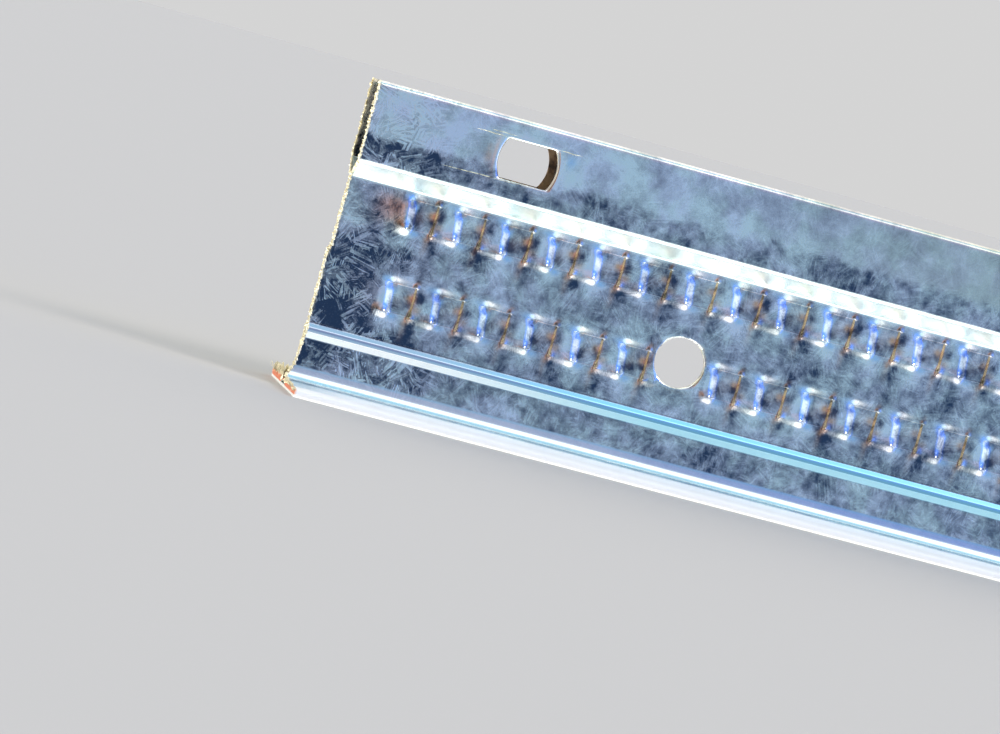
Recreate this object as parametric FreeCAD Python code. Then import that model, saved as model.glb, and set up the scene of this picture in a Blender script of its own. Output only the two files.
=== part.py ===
"""Main tee of an exposed ceiling grid: a folded galvanised strip with a painted steel cap on its flange.

Millimetres. The tee lies along X and stands on its painted face. The origin is the middle of that face,
+Z points up the web, and the end at -X is the one that was cut with snips.
"""
import FreeCAD
import Part
import math
import os

# Overall sizes of the tee
length = 3600.0
height = 38.0
flange_width = 24.0

# Galvanised strip, folded into bulb, web and flange
strip_thickness = 0.36
seam_gap = 0.04
foot_bend = 2.2

# Hollow bulb along the top
bulb_width = 6.6
bulb_wall_height = 9.6
bulb_foot_height = 1.8
bulb_top_bend = 0.35
bulb_foot_bend = 0.4

# Stiffening bead, pressed outwards in both layers of the web
bead_bottom = 6.45
bead_lower_flank = 0.65
bead_crest = 0.35
bead_upper_flank = 0.55
bead_depth = 0.42
bead_bend = 0.2

# Painted cap under the flange, hemmed over both edges
cap_thickness = 0.28
hem_width = 4.2
hem_bend_share = 0.4

# Round holes in the web for hanger wires
hanger_diameter = 6.1
hanger_height = 14.8
hanger_first = 44.4
hanger_pitch = 300.0

# Slots through both walls of the bulb, flat above and below, round at the ends
bulb_slot_length = 7.2
bulb_slot_height = 4.84
bulb_slot_end_radius = 4.5
bulb_slot_drop = 5.0
bulb_slot_first = 19.6
bulb_slot_pitch = 300.0

# Upright slots in the web for the end tabs of cross tees
cross_slot_width = 2.2
cross_slot_height = 13.0
cross_slot_level = 15.5
cross_slot_first = 150.0
cross_slot_pitch = 300.0

# Cut end: the snips took the web back from the flange, in two strokes
web_setback = 1.24
stroke_step = 0.3
stroke_level = 17.5
setback_top = 3.3
setback_bottom = 1.5

# How far a cutting tool reaches past the metal
overshoot = 5.0

flange_end = -length / 2
web_end = flange_end + web_setback
flange_top = cap_thickness + strip_thickness
bulb_wall_bottom = height - bulb_wall_height
bulb_foot_bottom = bulb_wall_bottom - bulb_foot_height
bulb_slot_level = height - bulb_slot_drop
hem_bend = hem_bend_share * strip_thickness


def offset_corners(path, distance):
    """Corner points of the line that runs this far to the right of a path of straight runs."""
    runs = list(zip(path[:-1], path[1:]))
    ways = [math.atan2(b[1] - a[1], b[0] - a[0]) for a, b in runs]
    corners = []
    for index, (y, z) in enumerate(path):
        before = ways[max(index - 1, 0)]
        after = ways[min(index, len(ways) - 1)]
        middle = (before + math.remainder(after - before, math.tau) / 2) - math.pi / 2
        reach = distance / math.cos(math.remainder(after - before, math.tau) / 2)
        corners.append((y + reach * math.cos(middle), z + reach * math.sin(middle)))
    return corners


def bent_line(corners, radii):
    """Edges through the corners, with a tangent arc of its own radius at each inner corner."""
    point = lambda y, z: FreeCAD.Vector(0, y, z)
    edges = []
    start = corners[0]
    for before, corner, after, radius in zip(corners, corners[1:], corners[2:], radii):
        way_in = math.atan2(corner[1] - before[1], corner[0] - before[0])
        way_out = math.atan2(after[1] - corner[1], after[0] - corner[0])
        turn = math.remainder(way_out - way_in, math.tau)
        tangent = radius * math.tan(abs(turn) / 2)
        bow = radius / math.cos(turn / 2) - radius
        inward = way_in + turn / 2 + math.copysign(math.pi / 2, turn)
        arc_start = (corner[0] - tangent * math.cos(way_in), corner[1] - tangent * math.sin(way_in))
        arc_middle = (corner[0] + bow * math.cos(inward), corner[1] + bow * math.sin(inward))
        arc_end = (corner[0] + tangent * math.cos(way_out), corner[1] + tangent * math.sin(way_out))
        edges.append(Part.LineSegment(point(*start), point(*arc_start)).toShape())
        edges.append(Part.Arc(point(*arc_start), point(*arc_middle), point(*arc_end)).toShape())
        start = arc_end
    edges.append(Part.LineSegment(point(*start), point(*corners[-1])).toShape())
    return edges


def folded_strip(path, bends, thickness):
    """A strip of even thickness, folded along a path on its inner face, and as long as the tee.

    The metal lies to the right of the path, and each bend is the radius on the hollow side of its fold.
    """
    near_radii = []
    far_radii = []
    for before, corner, after, bend in zip(path, path[1:], path[2:], bends):
        first = (corner[0] - before[0], corner[1] - before[1])
        second = (after[0] - corner[0], after[1] - corner[1])
        turns_right = first[0] * second[1] - first[1] * second[0] < 0
        near_radii.append(bend + thickness if turns_right else bend)
        far_radii.append(bend if turns_right else bend + thickness)
    far_path = offset_corners(path, thickness)
    near_side = bent_line(path, near_radii)
    far_side = bent_line(far_path, far_radii)
    ends = []
    for a, b in ((path[0], far_path[0]), (path[-1], far_path[-1])):
        ends.append(Part.LineSegment(FreeCAD.Vector(0, *a), FreeCAD.Vector(0, *b)).toShape())
    outline = Part.Wire(Part.__sortEdges__(near_side + far_side + ends))
    strip = Part.Face(outline).extrude(FreeCAD.Vector(length, 0, 0))
    strip.translate(FreeCAD.Vector(flange_end, 0, 0))
    return strip


def upright_prism(edges, half_depth):
    """A solid on a closed outline in the XZ plane, reaching half_depth to both sides of the web."""
    outline = Part.Wire(Part.__sortEdges__(edges))
    prism = Part.Face(outline).extrude(FreeCAD.Vector(0, 2 * half_depth, 0))
    prism.translate(FreeCAD.Vector(0, -half_depth, 0))
    return prism


def pattern(first, pitch):
    """Places along the tee from the cut end of the web, for as long as there is web."""
    count = int((length - web_setback - first - overshoot) // pitch) + 1
    return [web_end + first + pitch * index for index in range(count)]


def hanger_hole(x):
    """Round punch through both layers of the web."""
    foot = FreeCAD.Vector(x, -flange_width / 2, hanger_height)
    return Part.makeCylinder(hanger_diameter / 2, flange_width, foot, FreeCAD.Vector(0, 1, 0))


def bulb_slot(x):
    """Punch with flat top and bottom and arcs for ends, through both walls of the bulb."""
    half_height = bulb_slot_height / 2
    bow = bulb_slot_end_radius - math.sqrt(bulb_slot_end_radius ** 2 - half_height ** 2)
    tip = bulb_slot_length / 2
    corner = tip - bow
    at = lambda dx, dz: FreeCAD.Vector(x + dx, 0, bulb_slot_level + dz)
    edges = []
    for side in (-1, 1):
        flat = Part.LineSegment(at(-corner, side * half_height), at(corner, side * half_height))
        end = Part.Arc(at(side * corner, -half_height), at(side * tip, 0), at(side * corner, half_height))
        edges += [flat.toShape(), end.toShape()]
    return upright_prism(edges, bulb_width / 2 + overshoot)


def cross_slot(x):
    """Upright punch with half-round ends, through both layers of the web."""
    half_width = cross_slot_width / 2
    straight = cross_slot_height / 2 - half_width
    at = lambda dx, dz: FreeCAD.Vector(x + dx, 0, cross_slot_level + dz)
    edges = []
    for side in (-1, 1):
        flank = Part.LineSegment(at(side * half_width, -straight), at(side * half_width, straight))
        end = Part.Arc(
            at(-half_width, side * straight),
            at(0, side * (straight + half_width)),
            at(half_width, side * straight),
        )
        edges += [flank.toShape(), end.toShape()]
    return upright_prism(edges, flange_width / 2)


def snipped_off():
    """The metal that the snips took off the end: the web and bulb, down to the fold above the flange."""
    outline = [
        (flange_end - overshoot, height + overshoot),
        (web_end, height + overshoot),
        (web_end, stroke_level),
        (web_end - stroke_step, stroke_level),
        (web_end - stroke_step, setback_top),
        (flange_end, setback_bottom),
        (flange_end - overshoot, setback_bottom),
    ]
    corners = [FreeCAD.Vector(x, 0, z) for x, z in outline]
    edges = []
    for a, b in zip(corners, corners[1:] + corners[:1]):
        edges.append(Part.LineSegment(a, b).toShape())
    return upright_prism(edges, flange_width)


def tee_body():
    """One strip from flange edge to flange edge: half of the fold and its mirror image, then the punchings."""
    seam = seam_gap / 2
    bead_face = seam + bead_depth
    crest_bottom = bead_bottom + bead_lower_flank
    crest_top = crest_bottom + bead_crest
    bead_top = crest_top + bead_upper_flank
    bulb_inside = bulb_width / 2 - strip_thickness
    flange_edge = flange_width / 2 - cap_thickness - hem_bend
    half_path = [
        (flange_edge, cap_thickness),
        (seam, cap_thickness),
        (seam, bead_bottom),
        (bead_face, crest_bottom),
        (bead_face, crest_top),
        (seam, bead_top),
        (seam, bulb_foot_bottom),
        (bulb_inside, bulb_wall_bottom),
        (bulb_inside, height - strip_thickness),
    ]
    half_bends = [foot_bend] + 4 * [bead_bend] + 2 * [bulb_foot_bend] + [bulb_top_bend]
    path = half_path + [(-y, z) for y, z in reversed(half_path)]
    strip = folded_strip(path, half_bends + half_bends[::-1], strip_thickness)
    punches = [hanger_hole(x) for x in pattern(hanger_first, hanger_pitch)]
    punches += [bulb_slot(x) for x in pattern(bulb_slot_first, bulb_slot_pitch)]
    punches += [cross_slot(x) for x in pattern(cross_slot_first, cross_slot_pitch)]
    return strip.cut(punches + [snipped_off()])


def face_cap():
    """One strip laid under the flange, turned up round both edges and pressed down on top of them."""
    edge = flange_width / 2 - cap_thickness
    hem_end = flange_width / 2 - hem_width
    path = [
        (-hem_end, flange_top),
        (-edge, flange_top),
        (-edge, cap_thickness),
        (edge, cap_thickness),
        (edge, flange_top),
        (hem_end, flange_top),
    ]
    return folded_strip(path, 4 * [hem_bend], cap_thickness)


os.makedirs("parts", exist_ok=True)
for name, shape in (("tee_body", tee_body()), ("face_cap", face_cap())):
    solid = shape.Solids[0]
    solid.exportStep("parts/" + name + ".step")
    print(name, "solids", len(shape.Solids), "valid", solid.isValid(), "volume", round(solid.Volume, 1))
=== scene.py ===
import math

import bpy
import numpy as np
from mathutils import Matrix, Vector


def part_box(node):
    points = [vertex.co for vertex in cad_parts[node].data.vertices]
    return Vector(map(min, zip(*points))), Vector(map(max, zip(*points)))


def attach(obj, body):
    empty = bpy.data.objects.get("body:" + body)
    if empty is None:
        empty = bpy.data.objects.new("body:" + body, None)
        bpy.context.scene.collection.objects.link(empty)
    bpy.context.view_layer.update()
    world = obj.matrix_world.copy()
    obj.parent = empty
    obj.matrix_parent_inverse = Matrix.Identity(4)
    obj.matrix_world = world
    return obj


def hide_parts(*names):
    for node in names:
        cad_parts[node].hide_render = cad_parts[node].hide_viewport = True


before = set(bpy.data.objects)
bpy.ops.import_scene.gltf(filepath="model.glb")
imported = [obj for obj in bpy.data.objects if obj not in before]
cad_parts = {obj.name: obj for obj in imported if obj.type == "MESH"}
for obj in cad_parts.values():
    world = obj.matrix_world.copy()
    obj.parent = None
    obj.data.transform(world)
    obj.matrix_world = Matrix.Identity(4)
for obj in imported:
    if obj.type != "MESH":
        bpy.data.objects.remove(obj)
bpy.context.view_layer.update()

# Hollow bulb along the top of the tee. It is the middle of one galvanised steel strip, which rollers fold
# into a closed box on two sloping feet, and it is punched through both walls for hanger clips.
mm = 0.001
tee_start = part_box("face_cap")[0].x
tee_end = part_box("face_cap")[1].x
tee_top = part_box("tee_body")[1].z
web_start = tee_start + 1.24 * mm
strip = 0.36 * mm
seam = 0.04 * mm
bulb_width = 6.6 * mm
bulb_inside = bulb_width / 2 - strip
bulb_wall_bottom = tee_top - 9.6 * mm
bulb_foot_bottom = bulb_wall_bottom - 1.8 * mm
bulb_foot_bend = 0.4 * mm
bulb_top_bend = 0.35 * mm
bend_steps = 8
punch_pitch = 300 * mm
bulb_slot_first = 19.6 * mm
bulb_slot_length = 7.2 * mm
bulb_slot_height = 4.84 * mm
bulb_slot_end_radius = 4.5 * mm
bulb_slot_level = tee_top - 5.0 * mm
bulb_slot_margin = 1.0 * mm
web_overlap = 0.6 * mm
slot_rolled = 0.16 * mm
# Rings from the border of a gap to the edge of its hole: share of the way, and share of the edge's roll
punch_rings = ((0.25, -0.05), (0.5, -0.15), (0.72, -0.25), (0.87, -0.2), (0.95, 0.2), (1, 1))
# Painted highlight that brightens each ring towards the hole's edge
rim_painted_highlight = 0.5
sharp_from = math.radians(40)
tiny = 1e-6
ragged_reach = 2.5 * mm
bare_width = 0.25 * mm
score_width = 0.16 * mm
score_height = 0.06 * mm
score_stations = 24
dice = np.random.default_rng(38)


def beside(corners, distance):
    """Corners of the line that runs this far to the right of a line of straight runs."""
    ways = [math.atan2(b[1] - a[1], b[0] - a[0]) for a, b in zip(corners, corners[1:])]
    moved = []
    for (y, z), way_in, way_out in zip(corners, ways[:1] + ways, ways + ways[-1:]):
        half_turn = math.remainder(way_out - way_in, math.tau) / 2
        side = way_in + half_turn - math.pi / 2
        reach = distance / math.cos(half_turn)
        moved.append((y + reach * math.cos(side), z + reach * math.sin(side)))
    return moved


def turn_at(before, corner, after):
    """The way in to a corner, and how far it turns there: to the left is more than 0."""
    way_in = math.atan2(corner[1] - before[1], corner[0] - before[0])
    way_out = math.atan2(after[1] - corner[1], after[0] - corner[0])
    return way_in, math.remainder(way_out - way_in, math.tau)


def bent_line(corners, bends):
    """Points along straight runs, with a round bend of its own radius at each inner corner."""
    line = [corners[0]]
    for before, corner, after, bend in zip(corners, corners[1:], corners[2:], bends):
        way_in, turn = turn_at(before, corner, after)
        quarter = math.copysign(math.pi / 2, turn)
        inward = way_in + turn / 2 + quarter
        reach = bend / math.cos(turn / 2)
        y = corner[0] + reach * math.cos(inward)
        z = corner[1] + reach * math.sin(inward)
        for step in range(bend_steps + 1):
            angle = way_in - quarter + turn * step / bend_steps
            line.append((y + bend * math.cos(angle), z + bend * math.sin(angle)))
    line.append(corners[-1])
    return np.array(line)


def folded(corners, bends, thickness):
    """Outer and inner face of a folded strip, point for point. The corners are those of its inner face."""
    outer_bends = []
    inner_bends = []
    for before, corner, after, bend in zip(corners, corners[1:], corners[2:], bends):
        turns_left = turn_at(before, corner, after)[1] > 0
        outer_bends.append(bend + thickness if turns_left else bend)
        inner_bends.append(bend if turns_left else bend + thickness)
    return bent_line(beside(corners, thickness), outer_bends), bent_line(corners, inner_bends)


class Sheet:
    """Points and faces of sheet metal, with at each point: bare steel, tarnish and painted reflection, and
    painted highlight or shade.
    """

    def __init__(self):
        self.points = []
        self.faces = []
        self.marks = {"bare_steel": [], "stain_and_reflection": [], "painted_highlight_and_shade": []}
        self.count = 0

    def add(self, points, bare=0.0, stain_and_reflection=0.0, painted_highlight_and_shade=0.0):
        """Takes points in, and gives back their numbers in the same layout."""
        points = np.asarray(points, float)
        numbers = self.count + np.arange(points.size // 3).reshape(points.shape[:-1])
        self.points.append(points.reshape(-1, 3))
        for values, mark in zip(self.marks.values(), (bare, stain_and_reflection, painted_highlight_and_shade)):
            values.append(np.broadcast_to(mark, points.shape[:-1]).ravel())
        self.count += points.size // 3
        return numbers

    def cover(self, numbers, turned=False, gaps=()):
        """Faces over a grid of points, apart from the blocks of cells that punches take away."""
        corners = [numbers[:-1, :-1], numbers[1:, :-1], numbers[1:, 1:], numbers[:-1, 1:]]
        kept = np.ones(corners[0].shape, bool)
        for i0, i1, j0, j1 in gaps:
            kept[i0:i1, j0:j1] = False
        faces = np.stack([c[kept] for c in corners], -1)
        self.faces.append(faces[:, ::-1] if turned else faces)

    def join(self, first, second, closed=False, turned=False):
        """A band of faces between two lines of points."""
        if closed:
            first = np.append(first, first[0])
            second = np.append(second, second[0])
        faces = np.stack([first[:-1], first[1:], second[1:], second[:-1]], -1)
        self.faces.append(faces[:, ::-1] if turned else faces)

    def strip(self, outside, inside, turned):
        """Both faces of a strip and the edges at its two ends, from grids with the same layout."""
        self.cover(outside, turned=turned)
        self.cover(inside, turned=not turned)
        self.join(outside[0], inside[0], turned=turned)
        self.join(outside[-1], inside[-1], turned=not turned)

    def punch(self, border, places, edge, surface, rolled, turned=False, bare=0.0, stain_and_reflection=0.0):
        """Rings of faces from the border of a gap to a hole's edge, which the punch has rolled in."""
        ring = border
        for share, depth in punch_rings:
            ring_places = places + (edge - places) * share
            torn = max(bare, 0.6 * (depth == 1))
            # The rings carry a painted highlight that grows towards the edge
            inner = self.add(surface(ring_places, depth * rolled), torn, stain_and_reflection, rim_painted_highlight * share ** 2)
            self.join(ring, inner, closed=True, turned=turned)
            ring = inner
        return ring

    def piece(self, name, material):
        """The finished mesh, smooth over bends and sharp at cut edges."""
        points = np.concatenate(self.points)
        faces = np.concatenate(self.faces).astype(np.int32)
        mesh = bpy.data.meshes.new(name)
        mesh.vertices.add(len(points))
        mesh.vertices.foreach_set("co", points.astype(np.float32).ravel())
        mesh.loops.add(faces.size)
        mesh.loops.foreach_set("vertex_index", faces.ravel())
        mesh.polygons.add(len(faces))
        mesh.polygons.foreach_set("loop_start", np.arange(0, faces.size, 4, dtype=np.int32))
        mesh.update(calc_edges=True)
        mesh.polygons.foreach_set("use_smooth", np.ones(len(faces), bool))
        mesh.set_sharp_from_angle(angle=sharp_from)
        for mark, values in self.marks.items():
            layer = mesh.attributes.new(mark, "FLOAT", "POINT")
            layer.data.foreach_set("value", np.concatenate(values).astype(np.float32))
        mesh.materials.append(material)
        obj = bpy.data.objects.new(name, mesh)
        bpy.context.scene.collection.objects.link(obj)
        return obj


def round_gap(gap):
    """Columns and rows of the points round a block of cells, counter-clockwise."""
    i0, i1, j0, j1 = gap
    across = np.arange(i0, i1)
    up = np.arange(j0, j1)
    i = np.concatenate([across, np.full(len(up), i1), across[::-1] + 1, np.full(len(up), i0)])
    j = np.concatenate([np.full(len(across), j0), up, np.full(len(across), j1), up[::-1] + 1])
    return i, j


def punch_places(first):
    """Middles of a line of punches, from the cut end of the web to the far end of the tee."""
    count = int((tee_end - web_start - first) // punch_pitch) + 1
    return web_start + first + punch_pitch * np.arange(count)


def bulb_slot_edge(places, middle):
    """The points of a slot's edge that face the given points: flat above and below, arcs at both ends."""
    way = places - middle
    way = way / np.linalg.norm(way, axis=1, keepdims=True)
    to_flat = bulb_slot_height / 2 / np.maximum(np.abs(way[:, 1]), 1e-9)
    arc_middle = bulb_slot_length / 2 - bulb_slot_end_radius
    along = np.abs(way[:, 0]) * arc_middle
    to_arc = along + np.sqrt(along ** 2 + bulb_slot_end_radius ** 2 - arc_middle ** 2)
    return middle + way * np.minimum(to_flat, to_arc)[:, None]


def ragged(level, depth, spacing):
    """How far a snipped edge wanders, for points at these levels."""
    steps = np.arange(-2 * mm, tee_top + 2 * mm, spacing)
    return depth * np.interp(level, steps, dice.uniform(-1, 1, len(steps)))


class Recipe:
    """Adds nodes to a material or world, and feeds their sockets with values or with other nodes' outputs."""

    def __init__(self, owner, shader="Principled BSDF"):
        owner.use_nodes = True
        self.owner = owner
        self.tree = owner.node_tree
        self.shader = self.tree.nodes[shader]

    def feed(self, node, sockets):
        for key, value in sockets.items():
            socket = next(s for s in node.inputs if key in (s.identifier, s.name))
            if isinstance(value, bpy.types.NodeSocket):
                self.tree.links.new(value, socket)
            else:
                socket.default_value = value

    def node(self, kind, sockets, **settings):
        made = self.tree.nodes.new("ShaderNode" + kind)
        for key, value in settings.items():
            setattr(made, key, value)
        self.feed(made, sockets)
        return made

    def math(self, operation, *values, clamp=False):
        sockets = dict(zip(("Value", "Value_001", "Value_002"), values))
        return self.node("Math", sockets, operation=operation, use_clamp=clamp).outputs[0]

    def times(self, first, second, clamp=False):
        return self.math("MULTIPLY", first, second, clamp=clamp)

    def plus(self, base, value, gain, clamp=False):
        """The base with another value on top, which counts this much."""
        return self.math("MULTIPLY_ADD", value, gain, base, clamp=clamp)

    def centred(self, noise):
        return self.math("SUBTRACT", noise, 0.5)

    def vector(self, operation, first, second):
        key = "Scale" if operation == "SCALE" else "Vector_001"
        sockets = {"Vector": first, key: second}
        return self.node("VectorMath", sockets, operation=operation).outputs["Vector"]

    def millimetres(self):
        """The place on the object in mm."""
        return self.vector("SCALE", self.node("TexCoord", {}).outputs["Object"], 1 / mm)

    def ramp(self, value, low, high):
        """0 up to low and 1 from high on, with a soft change between them."""
        sockets = {"Value": value, "From Min": low, "From Max": high}
        return self.node("MapRange", sockets, interpolation_type="SMOOTHSTEP").outputs["Result"]

    def band(self, value, rise, fall):
        """1 between a soft rise and a soft fall, each given by where it begins and ends."""
        return self.times(self.ramp(value, *rise), self.ramp(value, *fall))

    def noise(self, place, scale, detail, roughness=0.5, dimensions="3D"):
        sockets = {"Vector": place, "Scale": scale, "Detail": detail, "Roughness": roughness}
        return self.node("TexNoise", sockets, noise_dimensions=dimensions)

    def flat_noise(self, *settings):
        return self.noise(*settings, dimensions="2D")

    def flat_cells(self, place, scale):
        return self.node("TexVoronoi", {"Vector": place, "Scale": scale}, voronoi_dimensions="2D")

    def turn(self, place, angle):
        sockets = {"Vector": place, "Angle": angle}
        return self.node("VectorRotate", sockets, rotation_type="Z_AXIS").outputs[0]

    def mark(self, name):
        return self.node("Attribute", {}, attribute_name=name).outputs["Fac"]

    def mix(self, share, first, second):
        sockets = {"Factor_Float": share, "A_Color": first, "B_Color": second}
        made = self.node("Mix", sockets, data_type="RGBA")
        return next(s for s in made.outputs if s.identifier == "Result_Color")


def galvanised_steel():
    """Zinc with frost-like crystals: pale slivers on a dark ground near the cut, and clouds further on."""
    zinc_dark = (0.045, 0.075, 0.13, 1)
    zinc_lilac = (1.0, 0.95, 0.98, 1)
    zinc_green = (0.97, 1.0, 0.92, 1)
    zinc_warm = (0.62, 0.6, 0.42, 1)
    # Painted reflections for the rolled bends: the fillet, the bead's two flanks and the underside of the
    # bulb
    fillet_painted_reflection = (0.86, 0.92, 0.95, 1)
    bead_under_painted_reflection = (1.0, 1.0, 0.97, 1)
    bead_under_painted_blue_reflection = (0.45, 0.76, 0.84, 1)
    bead_over_painted_reflection = (0.5, 0.56, 0.68, 1)
    bead_over_painted_blue_reflection = (0.36, 0.74, 1.0, 1)
    fillet_painted_blue_reflection = (0.55, 0.72, 1.0, 1)
    bulb_foot_painted_reflection = (0.84, 0.95, 0.9, 1)
    # Dull white zinc for the flange top
    dull_white = (0.96, 0.96, 0.93, 1)
    # Bare steel, gold as a painted warm reflection
    bare_steel_warm_reflection = (0.88, 0.78, 0.52, 1)
    torn_dark = (0.2, 0.17, 0.1, 1)
    # Brown and dark spots are tarnish and painted warm reflection and shade; a painted blue sheen
    brown_stain_and_warm_reflection = (0.95, 0.52, 0.3, 1)
    dark_stain_and_shade = (0.16, 0.07, 0.04, 1)
    blue_painted_sheen = (0.6, 0.8, 1.0, 1)
    # Soft borders in mm, from where a change begins to where it ends: first by level above the painted face
    flange_border = (1.1, 0.75)
    fillet_reflection_top_border = (1.9, 2.2)
    fillet_border = (3.0, 2.75)
    near_foot_border = (10.5, 6.0)
    bead_rise, bead_fall = (6.15, 6.4), (8.25, 8.0)
    bead_crest_border = (7.2, 7.5)
    web_top_rise, web_top_fall = (18.5, 21.0), (27.5, 26.5)
    bulb_foot_rise, bulb_foot_fall = (25.9, 26.25), (28.6, 28.35)
    bulb_border = (28.0, 28.6)
    upper_wall_border = (32.0, 33.4)
    # then by the distance from the cut, and from the middle to the front
    dull_border = (-3.0, 9.0)
    dark_border = (15.5, 8.5)
    brushed_border = (10.0, 85.0)
    warm_border = (40.0, 85.0)
    # Where the painted blue reflections on the bead and fillet fade: along the tee, and towards the back half
    bead_reflection_border = (8.0, 45.0)
    fillet_reflection_border = (20.0, 70.0)
    reflection_fade_end = (120.0, 85.0)
    reflection_side_border = (0.2, -0.2)
    # Feathers of crystals: size in mm, how fine their slivers are each way, and whether they are barbed
    feathers = ((3.2, (4.2, 0.5, 1), True), (1.7, (8.0, 1.0, 1), False), (2.5, (5.5, 0.4, 1), False))
    feather_shift = 37.0
    barb_angle = 0.65
    crystal_spread = 40.0
    lean_of_sides = 0.7

    recipe = Recipe(bpy.data.materials.new("galvanised_steel"))
    ramp, times, plus, mix, vector = recipe.ramp, recipe.times, recipe.plus, recipe.mix, recipe.vector
    where = recipe.node("SeparateXYZ", {"Vector": recipe.millimetres()})
    level = where.outputs["Z"]
    aside = plus(level, where.outputs["Y"], lean_of_sides)
    flat = recipe.node("CombineXYZ", {"X": where.outputs["X"], "Y": aside}).outputs[0]
    wander = vector("SUBTRACT", recipe.flat_noise(flat, 0.7, 3.0).outputs["Color"], (0.5, 0.5, 0.5))
    bent = vector("ADD", flat, vector("SCALE", wander, 2.2))
    pale = 0.0
    for number, (size, fineness, barbed) in enumerate(feathers):
        shift = (feather_shift * number, 0, 0)
        crystals = recipe.flat_cells(vector("ADD", bent, shift), 1 / size)
        own_colour = crystals.outputs["Color"]
        chance = recipe.node("SeparateColor", {"Color": own_colour})
        inside = vector("SUBTRACT", vector("ADD", flat, shift), crystals.outputs["Position"])
        inside = recipe.turn(inside, times(chance.outputs["Red"], math.tau))
        if barbed:
            inside = recipe.turn(vector("ABSOLUTE", inside, (0, 0, 0)), barb_angle)
        drawn = vector("MULTIPLY", inside, fineness)
        drawn = vector("ADD", drawn, vector("SCALE", own_colour, crystal_spread))
        sliver = recipe.flat_cells(drawn, 1.0).outputs["Color"]
        sliver = ramp(recipe.node("SeparateColor", {"Color": sliver}).outputs["Red"], 0.5, 0.95)
        sliver = times(sliver, ramp(chance.outputs["Blue"], 0.1, 0.8))
        pale = recipe.math("MAXIMUM", sliver, pale)
        if number == 0:
            facet = recipe.centred(chance.outputs["Green"])
    cloud = recipe.flat_noise(flat, 0.16, 5.0, 0.62).outputs[0]
    mottle = recipe.flat_noise(flat, 0.75, 4.0, 0.6).outputs[0]
    grain = recipe.flat_noise(flat, 5.0, 5.0, 0.75).outputs[0]
    tint = recipe.flat_noise(flat, 0.22, 3.0).outputs[0]

    from_cut = recipe.math("SUBTRACT", where.outputs["X"], web_start / mm)
    clouded = plus(plus(from_cut, cloud, 9.0), ramp(level, *near_foot_border), -7.0)
    web_top = recipe.band(level, web_top_rise, web_top_fall)
    near_cut = times(ramp(clouded, *dark_border), plus(1.0, web_top, -0.75))
    upper_wall = ramp(plus(level, cloud, 2.5), *upper_wall_border)
    frost = plus(plus(0.35, near_cut, 0.8), upper_wall, -0.15)
    crystal_tone = plus(plus(-0.24, pale, 0.62), facet, 0.4)
    tone = times(crystal_tone, frost)
    tone_layers = (
        (times(ramp(grain, 0.62, 0.7), near_cut), 0.5),
        (recipe.centred(cloud), 1.35),
        (recipe.centred(mottle), plus(1.1, upper_wall, -0.6)),
        (recipe.centred(grain), 0.5),
        (near_cut, -0.2),
        (ramp(level, *bulb_border), -0.08),
        (upper_wall, plus(0.5, ramp(from_cut, *brushed_border), -0.2)),
        (times(upper_wall, near_cut), 0.25),
        # Painted highlights and shade round the stitches, along the slits and on punched rims
        (recipe.mark("painted_highlight_and_shade"), 1.0),
    )
    for layer, gain in tone_layers:
        tone = plus(tone, layer, gain)
    tone = recipe.math("ADD", tone, 0.46, clamp=True)

    stain_and_reflection = recipe.mark("stain_and_reflection")
    zinc_light = mix(ramp(tint, 0.35, 0.65), zinc_lilac, zinc_green)
    zinc = mix(tone, zinc_dark, zinc_light)
    warm = times(upper_wall, ramp(from_cut, *warm_border))
    zinc = mix(times(warm, 0.35), zinc, zinc_warm)
    # Below 0 the mark is a painted blue sheen
    zinc = mix(times(stain_and_reflection, -1.0, clamp=True), zinc, blue_painted_sheen)
    in_fillet = ramp(level, *fillet_border)
    under_bulb = recipe.band(level, bulb_foot_rise, bulb_foot_fall)
    on_bead = recipe.band(level, bead_rise, bead_fall)
    # Painted blue reflections, only on the front half and near the cut
    front_reflection_share = times(ramp(from_cut, *reflection_fade_end), ramp(where.outputs["Y"], *reflection_side_border))
    bead_reflection_share = times(ramp(from_cut, *bead_reflection_border), front_reflection_share)
    bead_over_reflection = mix(bead_reflection_share, bead_over_painted_reflection, bead_over_painted_blue_reflection)
    bead_under_reflection = mix(bead_reflection_share, bead_under_painted_reflection, bead_under_painted_blue_reflection)
    bead_reflection_colour = mix(ramp(level, *bead_crest_border), bead_under_reflection, bead_over_reflection)
    fillet_reflection_share = times(ramp(level, *fillet_reflection_top_border), ramp(from_cut, *fillet_reflection_border))
    fillet_reflection_colour = mix(times(fillet_reflection_share, front_reflection_share), fillet_painted_reflection, fillet_painted_blue_reflection)
    # The rolled bends are painted with reflections: white under the bulb and on the bead's lower flank,
    # greyer on its upper flank, bright on the fillet
    bends_painted_reflection = (
        (in_fillet, 0.85, fillet_reflection_colour),
        (under_bulb, 0.9, bulb_foot_painted_reflection),
        (on_bead, 0.96, bead_reflection_colour),
    )
    rolled = 0.0
    for zone, share, bend_painted_reflection in bends_painted_reflection:
        zinc = mix(times(zone, share), zinc, bend_painted_reflection)
        rolled = recipe.math("MAXIMUM", zone, rolled)

    bare = recipe.mark("bare_steel")
    # Bare steel is coloured gold: a painted warm reflection
    torn = mix(ramp(mottle, 0.4, 0.56), torn_dark, bare_steel_warm_reflection)
    colour = mix(bare, zinc, torn)
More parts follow.
